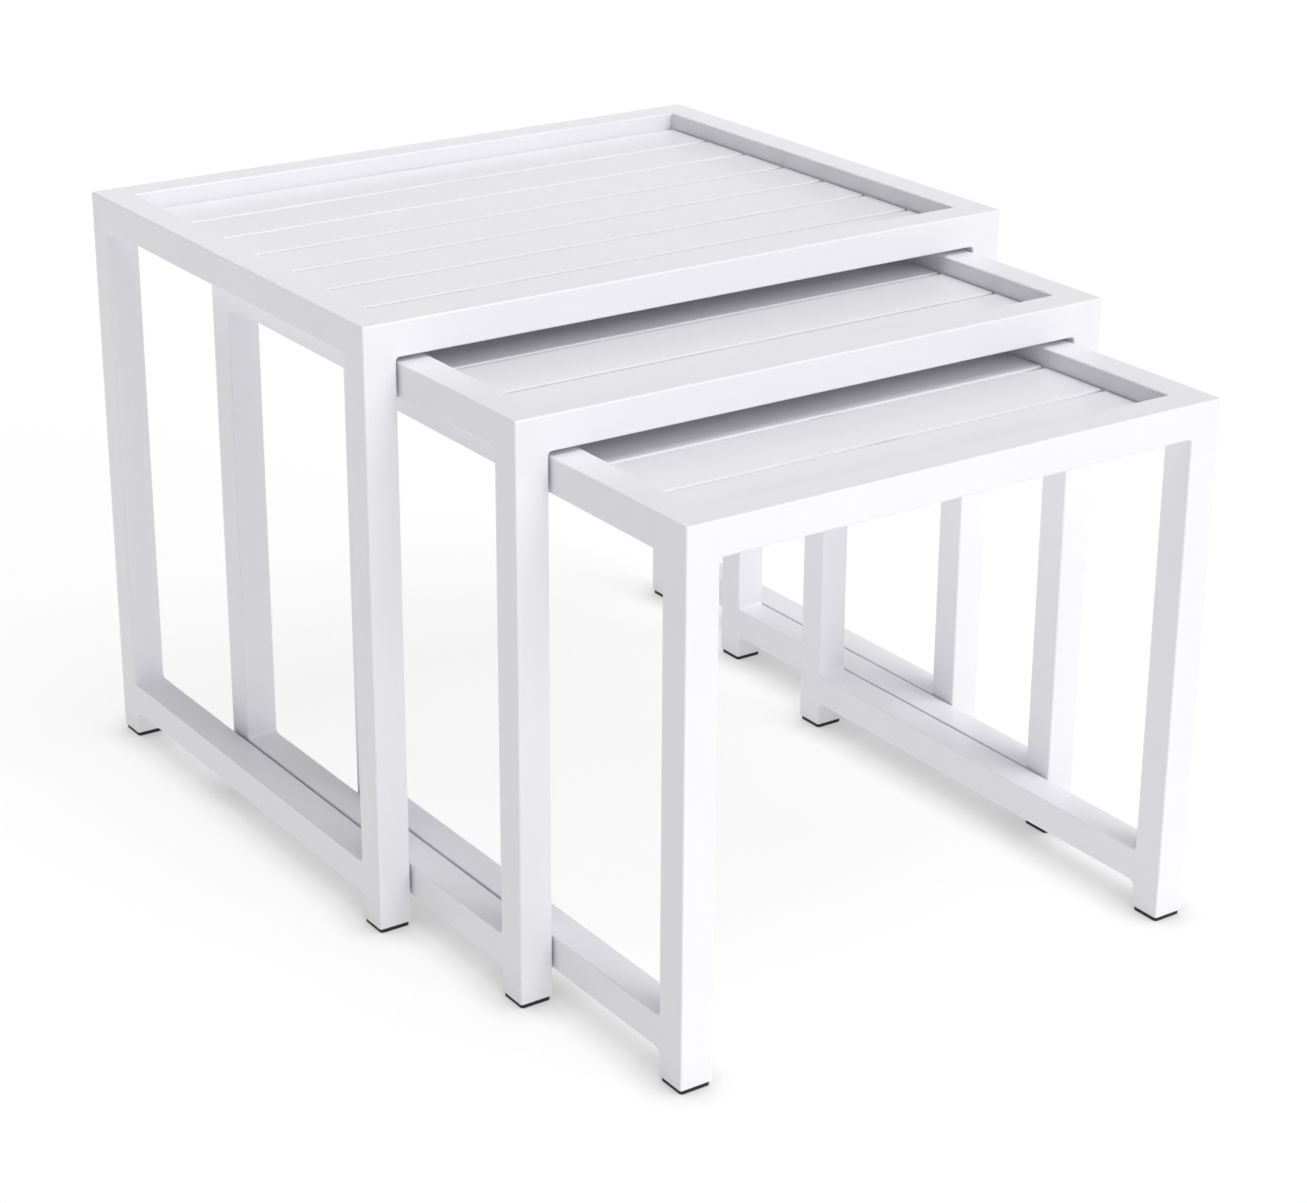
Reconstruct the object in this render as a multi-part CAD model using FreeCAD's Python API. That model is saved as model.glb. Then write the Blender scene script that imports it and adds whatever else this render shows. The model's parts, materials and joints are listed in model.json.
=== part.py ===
"""Set of three nesting side tables in welded, powder-coated aluminium tube.

Each table is a mitred top frame on four legs, with one low rail on each side
and recessed slats.  The three tables are alike and shrink by one tube and a
clearance, so that each slides under the next larger one from the front.

Millimetres.  +Z is up, -Y is the front that the smaller tables are pulled
out of, and +X is to the right of somebody who faces the front.  The origin
is on the floor, in the middle of the staggered set.
"""
import FreeCAD, Part
import os

from FreeCAD import Vector

# ---- Driving dimensions ------------------------------------------------------

# The largest table, over everything.
large_width = 610.0
large_height = 500.0
depth = 470.0                # the same for all three, so they nest flush

# Square tube for the legs and all the rails.
tube = 28.0
tube_wall = 2.0
tube_edge_round = 1.5
tube_bore_round = 0.5

# Room between one table and the next one under it.
side_clearance = 2.0
top_clearance = 4.0

# How far the smaller tables are pulled out of the front of the large one.
middle_pull = 161.0
small_pull = 327.0

# Low side rails: the height of their underside over the floor.
low_rail_underside = 25.0

# Dressed weld fillets in the inner corners of the frame.
front_fillet = 3.0           # leg to front or back rail
side_fillet = 6.0            # leg to side rail
low_rail_fillet_over = 3.0   # leg to low rail, above the rail and below it
low_rail_fillet_under = 5.0

# Slats: hollow planks, set down inside the top frame.
slat_recess = 15.0
slat_thickness = 8.0
slat_wall = 1.2
slat_gap = 4.0
slat_end_gap = 1.0
slat_edge_round = 1.4
slat_counts = {"large": 7, "middle": 6, "small": 6}

# Flat bars that carry the slats.
support_thickness = 3.0
ledge_width = 15.0
brace_width = 30.0

# Moulded glides, pushed into the open lower ends of the legs.
pad_size = 26.0
pad_height = 4.0
pad_corner_round = 3.0
pad_edge_round = 0.4
plug_core = 20.0
plug_height = 18.0
plug_corner_round = 1.0
rib_size = 23.8
rib_height = 1.6
rib_count = 4

# ---- Worked-out dimensions ---------------------------------------------------

width_step = 2.0 * (tube + side_clearance)
height_step = tube + top_clearance
low_rail_top = low_rail_underside + tube
large_front = small_pull - (depth + small_pull) / 2.0

# Slack for comparing shapes: the cosine between two directions that count as
# one, and the distance within which two things touch.
same_direction = 0.999
touching = 0.01

up = Vector(0, 0, 1)
along_x = Vector(1, 0, 0)
along_y = Vector(0, 1, 0)


class Table:
    """The outer planes of one table: x0, x1, y0, y1 and top."""

    def __init__(self, name, size_step, pull):
        self.name = name
        half_width = (large_width - size_step * width_step) / 2.0
        self.x0 = -half_width
        self.x1 = half_width
        self.y0 = large_front - pull
        self.y1 = self.y0 + depth
        self.top = large_height - size_step * height_step
        self.rail_underside = self.top - tube
        self.slats = slat_counts[name]


# ---- Small helpers -----------------------------------------------------------

def block(x0, x1, y0, y1, z0, z1):
    return Part.makeBox(x1 - x0, y1 - y0, z1 - z0, Vector(x0, y0, z0))


def polygon_face(points):
    return Part.Face(Part.makePolygon(points + points[:1]))


def edges_along(shape, direction):
    """The straight edges of a shape that run along a direction."""
    found = []
    for edge in shape.Edges:
        if isinstance(edge.Curve, Part.Line):
            if abs(edge.Curve.Direction.dot(direction)) > same_direction:
                found.append(edge)
    return found


def rounded_block(x0, x1, y0, y1, z0, z1, radius, direction):
    """A block whose four edges along one direction are rounded."""
    blank = block(x0, x1, y0, y1, z0, z1)
    return blank.makeFillet(radius, edges_along(blank, direction))


def save(name, solids):
    shape = solids[0] if len(solids) == 1 else Part.makeCompound(solids)
    shape.exportStep("parts/%s.step" % name)


# ---- Welded frame ------------------------------------------------------------

def soften(frame, across, inner_corners):
    """Fillet the inner corners of a flat frame, then round its outer edges.

    across is the direction that the frame was extruded in, and inner_corners
    holds (point, radius) for each corner that a weld fills.
    """
    for point, radius in inner_corners:
        corner = [edge for edge in edges_along(frame, across)
                  if edge.distToShape(Part.Vertex(point))[0] < touching]
        frame = frame.makeFillet(radius, corner)
    sharp = []
    for edge in frame.Edges:
        box = edge.BoundBox
        on_foot = box.ZMax < pad_height + touching
        filled = isinstance(edge.Curve, Part.Line) and is_tangent(frame, edge)
        if not on_foot and not filled:
            sharp.append(edge)
    return frame.makeFillet(tube_edge_round, sharp)


def is_tangent(shape, edge):
    """True where the two faces beside an edge run smoothly into each other."""
    middle = edge.valueAt((edge.FirstParameter + edge.LastParameter) / 2.0)
    normals = []
    for face in shape.ancestorsOfType(edge, Part.Face):
        u, v = face.Surface.parameter(middle)
        normals.append(face.normalAt(u, v))
    return abs(normals[0].dot(normals[1])) > same_direction


def portal(table, y):
    """Two legs and the rail across them, as seen from the front."""
    x0, x1 = table.x0, table.x1
    top, underside, foot = table.top, table.rail_underside, pad_height
    outline = [Vector(x0, y, foot), Vector(x0, y, top), Vector(x1, y, top), Vector(x1, y, foot),
               Vector(x1 - tube, y, foot), Vector(x1 - tube, y, underside),
               Vector(x0 + tube, y, underside), Vector(x0 + tube, y, foot)]
    flat = polygon_face(outline).extrude(along_y * tube)
    corners = [(Vector(x, y, underside), front_fillet) for x in (x0 + tube, x1 - tube)]
    return soften(flat, along_y, corners)


def side_frame(table, x):
    """Two legs, the rail over them and the low rail, as seen from the side."""
    y0, y1 = table.y0, table.y1
    top, underside, foot = table.top, table.rail_underside, pad_height
    inner = (y0 + tube, y1 - tube)
    outline = [Vector(x, y0, foot), Vector(x, y0, top), Vector(x, y1, top), Vector(x, y1, foot),
               Vector(x, inner[1], foot), Vector(x, inner[1], low_rail_underside),
               Vector(x, inner[0], low_rail_underside), Vector(x, inner[0], foot)]
    flat = polygon_face(outline).extrude(along_x * tube)
    flat = flat.cut(block(x, x + tube, inner[0], inner[1], low_rail_top, underside))
    fillets = {underside: side_fillet, low_rail_top: low_rail_fillet_over,
               low_rail_underside: low_rail_fillet_under}
    corners = [(Vector(x, y, z), radius) for y in inner for z, radius in fillets.items()]
    return soften(flat, along_x, corners)


def welded_envelope(table):
    """The outside of the whole frame as one smooth skin, still solid."""
    front = portal(table, table.y0)
    back = portal(table, table.y1 - tube)
    left = side_frame(table, table.x0)
    right = side_frame(table, table.x1 - tube)
    return front.fuse([back, left, right]).removeSplitter()


def top_rail_room(table, side):
    """The mitred room of one rail of the top frame."""
    x0, x1, y0, y1 = table.x0, table.x1, table.y0, table.y1
    z = table.rail_underside
    outer = [Vector(x0, y0, z), Vector(x1, y0, z), Vector(x1, y1, z), Vector(x0, y1, z)]
    inner = [Vector(x0 + tube, y0 + tube, z), Vector(x1 - tube, y0 + tube, z),
             Vector(x1 - tube, y1 - tube, z), Vector(x0 + tube, y1 - tube, z)]
    first = ("front", "right", "back", "left").index(side)
    second = (first + 1) % 4
    corners = [outer[first], outer[second], inner[second], inner[first]]
    return polygon_face(corners).extrude(up * tube)


def top_rail_bore(table, side):
    low, high = table.rail_underside + tube_wall, table.top - tube_wall
    x0, x1, y0, y1 = table.x0, table.x1, table.y0, table.y1
    inset = tube - tube_wall
    if side == "front":
        return rounded_block(x0, x1, y0 + tube_wall, y0 + inset, low, high, tube_bore_round, along_x)
    if side == "back":
        return rounded_block(x0, x1, y1 - inset, y1 - tube_wall, low, high, tube_bore_round, along_x)
    if side == "left":
        return rounded_block(x0 + tube_wall, x0 + inset, y0, y1, low, high, tube_bore_round, along_y)
    return rounded_block(x1 - inset, x1 - tube_wall, y0, y1, low, high, tube_bore_round, along_y)


def tube_room(x, y0, y1, z0, z1):
    """The square room of a leg or a low rail whose left face is at x."""
    return block(x, x + tube, y0, y1, z0, z1)


def tube_bore(x, y0, y1, z0, z1, direction):
    """The hollow of a leg or a low rail, open at both ends."""
    if direction == up:
        y0, y1 = y0 + tube_wall, y1 - tube_wall
    else:
        z0, z1 = z0 + tube_wall, z1 - tube_wall
    return rounded_block(x + tube_wall, x + tube - tube_wall, y0, y1, z0, z1,
                         tube_bore_round, direction)


def build_frame(table):
    """Cut the welded skin into its tubes and its weld fillets."""
    skin = welded_envelope(table)
    rooms = []
    sides = {"left": table.x0, "right": table.x1 - tube}
    ends = {"front": table.y0, "back": table.y1 - tube}
    for end, y in ends.items():
        for side, x in sides.items():
            span = (x, y, y + tube, pad_height, table.rail_underside)
            room = tube_room(*span)
            leg = skin.common(room).cut(tube_bore(*span, up))
            save("%s_%s_%s_leg" % (table.name, end, side), leg.Solids)
            rooms.append(room)
    for side in ("front", "back", "left", "right"):
        room = top_rail_room(table, side)
        rail = skin.common(room).cut(top_rail_bore(table, side))
        save("%s_%s_top_rail" % (table.name, side), rail.Solids)
        rooms.append(room)
    for side, x in sides.items():
        span = (x, table.y0 + tube, table.y1 - tube, low_rail_underside, low_rail_top)
        room = tube_room(*span)
        rail = skin.common(room).cut(tube_bore(*span, along_y))
        save("%s_%s_low_rail" % (table.name, side), rail.Solids)
        rooms.append(room)
    welds = skin.cut(rooms)
    save("%s_corner_welds" % table.name, welds.Solids)


# ---- Top ---------------------------------------------------------------------

def build_slats(table):
    """Hollow planks from side to side, with even gaps between them."""
    x0 = table.x0 + tube + slat_end_gap
    x1 = table.x1 - tube - slat_end_gap
    z1 = table.top - slat_recess
    z0 = z1 - slat_thickness
    pitch = (depth - 2.0 * tube) / table.slats
    for index in range(table.slats):
        y0 = table.y0 + tube + index * pitch + slat_gap / 2.0
        y1 = y0 + pitch - slat_gap
        plank = rounded_block(x0, x1, y0, y1, z0, z1, slat_edge_round, along_x)
        hollow = block(x0, x1, y0 + slat_wall, y1 - slat_wall, z0 + slat_wall, z1 - slat_wall)
        save("%s_slat_%d" % (table.name, index + 1), plank.cut(hollow).Solids)


def build_slat_supports(table):
    """A ledge inside each side rail and a brace under the middle of the slats."""
    z1 = table.top - slat_recess - slat_thickness
    z0 = z1 - support_thickness
    y0, y1 = table.y0 + tube, table.y1 - tube
    left, right = table.x0 + tube, table.x1 - tube
    bars = [block(left, left + ledge_width, y0, y1, z0, z1),
            block(-brace_width / 2.0, brace_width / 2.0, y0, y1, z0, z1),
            block(right - ledge_width, right, y0, y1, z0, z1)]
    save("%s_slat_supports" % table.name, bars)


# ---- Feet --------------------------------------------------------------------

def square_bar(x, y, size, z0, z1, radius):
    """An upright square bar about a centre, with rounded corners."""
    half = size / 2.0
    return rounded_block(x - half, x + half, y - half, y + half, z0, z1, radius, up)


def glide(x, y):
    """A black pad with a ribbed plug that grips the bore of the leg."""
    pad = square_bar(x, y, pad_size, 0.0, pad_height, pad_corner_round)
    rim = [edge for edge in pad.Edges if edge.BoundBox.ZMax < touching]
    pad = pad.makeFillet(pad_edge_round, rim)
    core = square_bar(x, y, plug_core, pad_height, pad_height + plug_height, plug_corner_round)
    pieces = [core]
    rib_pitch = plug_height / rib_count
    for index in range(rib_count):
        z = pad_height + (index + 0.5) * rib_pitch
        pieces.append(square_bar(x, y, rib_size, z, z + rib_height, plug_corner_round))
    return pad.fuse(pieces).removeSplitter().Solids[0]


def build_feet(table):
    half = tube / 2.0
    feet = [glide(x, y) for y in (table.y0 + half, table.y1 - half)
            for x in (table.x0 + half, table.x1 - half)]
    save("%s_foot_glides" % table.name, feet)


# ---- The set -----------------------------------------------------------------

def build_table(table):
    build_frame(table)
    build_slats(table)
    build_slat_supports(table)
    build_feet(table)


os.makedirs("parts", exist_ok=True)
build_table(Table("large", 0, 0.0))
build_table(Table("middle", 1, middle_pull))
build_table(Table("small", 2, small_pull))
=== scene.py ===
"""Looks of the nesting tables: powder coat, black glides, pale floor and soft studio light."""
import json
import math

import bpy
from mathutils import Euler, Matrix

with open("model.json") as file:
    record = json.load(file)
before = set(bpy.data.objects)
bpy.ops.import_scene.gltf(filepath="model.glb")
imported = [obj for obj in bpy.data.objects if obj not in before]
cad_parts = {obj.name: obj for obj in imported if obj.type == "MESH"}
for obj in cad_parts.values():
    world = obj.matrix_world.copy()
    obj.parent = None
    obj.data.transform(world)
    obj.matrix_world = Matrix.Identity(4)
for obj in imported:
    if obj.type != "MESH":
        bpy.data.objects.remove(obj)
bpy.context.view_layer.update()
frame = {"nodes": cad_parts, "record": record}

# ---- Materials ---------------------------------------------------------------

class Shader:
    """A node tree with short calls for the few nodes that the finishes use."""

    def __init__(self, name):
        self.material = bpy.data.materials.new(name)
        self.material.use_nodes = True
        self.tree = self.material.node_tree
        self.surface = self.tree.nodes["Principled BSDF"]
        self.place = self.tree.nodes.new("ShaderNodeTexCoord").outputs["Object"]

    def link(self, output, socket):
        self.tree.links.new(output, socket)

    def set(self, **values):
        for socket, value in values.items():
            self.surface.inputs[socket.replace("_", " ")].default_value = value

    def stretch(self, scale):
        """The object's coordinates, stretched by a factor along each axis."""
        node = self.tree.nodes.new("ShaderNodeMapping")
        self.link(self.place, node.inputs["Vector"])
        node.inputs["Scale"].default_value = scale
        return node.outputs["Vector"]

    def noise(self, feature, detail=2.0, place=None):
        """Smooth noise whose features are about this many metres across."""
        node = self.tree.nodes.new("ShaderNodeTexNoise")
        self.link(place or self.place, node.inputs["Vector"])
        node.inputs["Scale"].default_value = 1.0 / feature
        node.inputs["Detail"].default_value = detail
        return node.outputs["Fac"]

    def spread(self, fac, low, high, start=0.3, end=0.7):
        """A factor mapped from start..end to low..high."""
        node = self.tree.nodes.new("ShaderNodeMapRange")
        self.link(fac, node.inputs["Value"])
        node.inputs["From Min"].default_value = start
        node.inputs["From Max"].default_value = end
        node.inputs["To Min"].default_value = low
        node.inputs["To Max"].default_value = high
        return node.outputs["Result"]

    def between(self, fac, first, second):
        """A colour between two, by a factor."""
        node = self.tree.nodes.new("ShaderNodeMix")
        node.data_type = "RGBA"
        self.link(fac, node.inputs["Factor"])
        node.inputs["A"].default_value = (*first, 1.0)
        node.inputs["B"].default_value = (*second, 1.0)
        return node.outputs["Result"]

    def openness(self, reach):
        """1 in the open, and less where something stands closer than this."""
        node = self.tree.nodes.new("ShaderNodeAmbientOcclusion")
        node.inputs["Distance"].default_value = reach
        return node.outputs["AO"]

    def bump(self, height, depth, below=None):
        """A relief this many metres deep, laid over the relief below it."""
        node = self.tree.nodes.new("ShaderNodeBump")
        node.inputs["Strength"].default_value = 1.0
        node.inputs["Distance"].default_value = depth
        self.link(height, node.inputs["Height"])
        if below:
            self.link(below, node.inputs["Normal"])
        return node.outputs["Normal"]


def powder_coat(name, light, shade, grain=(1.0, 1.0, 1.0)):
    """Baked polyester powder: satin, with orange peel and a finer pebble."""
    tone_size, sheen_size = 0.09, 0.02
    peel_size, peel_depth = 0.0045, 0.000010
    pebble_size, pebble_depth = 0.0009, 0.000002
    coat = Shader(name)
    tone = coat.spread(coat.noise(tone_size, 3.0), 0.0, 1.0)
    coat.link(coat.between(tone, light, shade), coat.surface.inputs["Base Color"])
    sheen = coat.spread(coat.noise(sheen_size, 3.0), 0.28, 0.33)
    coat.link(sheen, coat.surface.inputs["Roughness"])
    peel = coat.bump(coat.noise(peel_size, 2.0, coat.stretch(grain)), peel_depth)
    pebble = coat.bump(coat.noise(pebble_size, 1.0), pebble_depth, peel)
    coat.link(pebble, coat.surface.inputs["Normal"])
    coat.set(IOR=1.5, Coat_Weight=0.25, Coat_Roughness=0.2)
    return coat.material


def moulded_black(name):
    """Black moulded plastic with a fine spark-eroded texture."""
    scuff_size = 0.004
    spark_size, spark_depth = 0.0006, 0.00003
    plastic = Shader(name)
    scuff = plastic.spread(plastic.noise(scuff_size, 4.0), 0.0, 1.0)
    colour = plastic.between(scuff, (0.004, 0.004, 0.0045), (0.012, 0.012, 0.013))
    plastic.link(colour, plastic.surface.inputs["Base Color"])
    sheen = plastic.spread(scuff, 0.5, 0.65, 0.0, 1.0)
    plastic.link(sheen, plastic.surface.inputs["Roughness"])
    sparks = plastic.bump(plastic.noise(spark_size, 2.0), spark_depth)
    plastic.link(sparks, plastic.surface.inputs["Normal"])
    return plastic.material


def dress(finishes):
    """Give every CAD node the finish of its material slot."""
    slots = {part["node"]: part["material_slot"] for part in frame["record"]["subparts"]}
    for name, node in frame["nodes"].items():
        node.data.materials.clear()
        node.data.materials.append(finishes[slots[name]])


# ---- Studio ------------------------------------------------------------------

def make_floor():
    """A pale floor to the horizon, glowing from within, with painted shade where the object stands
    close.
    """
    reach = 30.0
    painted_shade_reach = 0.04
    shaded_glow, open_glow = 0.45, 0.81
    corners = [(-reach, -reach, 0), (reach, -reach, 0), (reach, reach, 0), (-reach, reach, 0)]
    mesh = bpy.data.meshes.new("studio_floor")
    mesh.from_pydata(corners, [], [(0, 1, 2, 3)])
    floor = bpy.data.objects.new("studio_floor", mesh)
    bpy.context.scene.collection.objects.link(floor)
    paper = Shader("studio_paper")
    paper.set(Base_Color=(0.2, 0.2, 0.2, 1.0), Roughness=0.9, Specular_IOR_Level=0.0,
              Emission_Color=(1.0, 1.0, 1.0, 1.0))
    # The floor's glow is dimmed by ambient occlusion near the object: painted contact shade, not
    # cast shadow.
    glow_with_painted_shade = paper.spread(paper.openness(painted_shade_reach), shaded_glow, open_glow, 0.35, 0.95)
    paper.link(glow_with_painted_shade, paper.surface.inputs["Emission Strength"])
    mesh.materials.append(paper.material)


def soft_light(name, strength, elevation, azimuth, width):
    """A distant soft light, angles in degrees; azimuth 0 is the front, growing to the right."""
    sun = bpy.data.lights.new(name, "SUN")
    sun.energy = strength
    sun.angle = math.radians(width)
    lamp = bpy.data.objects.new(name, sun)
    lamp.rotation_euler = Euler((math.radians(90.0 - elevation), 0.0, math.radians(azimuth)))
    bpy.context.scene.collection.objects.link(lamp)


def make_surround():
    """A pale surround, white where the studio's sweep rises over the horizon."""
    sweep_foot, sweep_top = math.radians(6.0), math.radians(20.0)
    sweep_strength, dome_strength = 1.0, 0.14
    world = bpy.data.worlds.new("studio_surround")
    world.use_nodes = True
    nodes, links = world.node_tree.nodes, world.node_tree.links
    direction = nodes.new("ShaderNodeSeparateXYZ")
    links.new(nodes.new("ShaderNodeTexCoord").outputs["Generated"], direction.inputs["Vector"])
    sweep = nodes.new("ShaderNodeMapRange")
    links.new(direction.outputs["Z"], sweep.inputs["Value"])
    sweep.inputs["From Min"].default_value = math.sin(sweep_foot)
    sweep.inputs["From Max"].default_value = math.sin(sweep_top)
    sweep.inputs["To Min"].default_value = sweep_strength
    sweep.inputs["To Max"].default_value = dome_strength
    background = nodes["Background"]
    background.inputs["Color"].default_value = (0.985, 0.99, 1.0, 1.0)
    links.new(sweep.outputs["Result"], background.inputs["Strength"])
    bpy.context.scene.world = world


def make_lights():
    """A large light overhead, one in front, and a weak one behind, over the backdrop."""
    soft_light("overhead", strength=1.76, elevation=72.0, azimuth=20.0, width=40.0)
    soft_light("front", strength=1.09, elevation=31.0, azimuth=18.0, width=36.0)
    soft_light("backdrop", strength=0.35, elevation=30.0, azimuth=165.0, width=70.0)


def make_camera():
    """A long lens, in front of the left corner and above the tops."""
    place = Matrix.Translation((-1.2987, -1.8874, 1.1357))
    turned_right, tipped_down, rolled = math.radians(34.6), math.radians(21.16), math.radians(0.36)
    level = math.radians(90.0)
    heading = Matrix.Rotation(-turned_right, 4, "Z")
    tilt = Matrix.Rotation(level - tipped_down, 4, "X")
    roll = Matrix.Rotation(rolled, 4, "Z")
    lens = bpy.data.cameras.new("camera")
    lens.sensor_width = 36.0
    lens.lens = 81.3
    lens.shift_y = -0.05
    camera = bpy.data.objects.new("camera", lens)
    camera.matrix_world = place @ heading @ tilt @ roll
    bpy.context.scene.collection.objects.link(camera)
    bpy.context.scene.camera = camera
    bpy.context.scene.view_settings.view_transform = "Standard"


make_camera()
make_floor()
make_surround()
make_lights()
white = (0.86, 0.853, 0.885)
dress({
    "frame_coat": powder_coat("frame_powder_coat", white, (0.845, 0.838, 0.872)),
    "slat_coat": powder_coat("slat_powder_coat", white, (0.845, 0.838, 0.870), (0.35, 1.0, 1.0)),
    "glide_black": moulded_black("glide_plastic"),
})
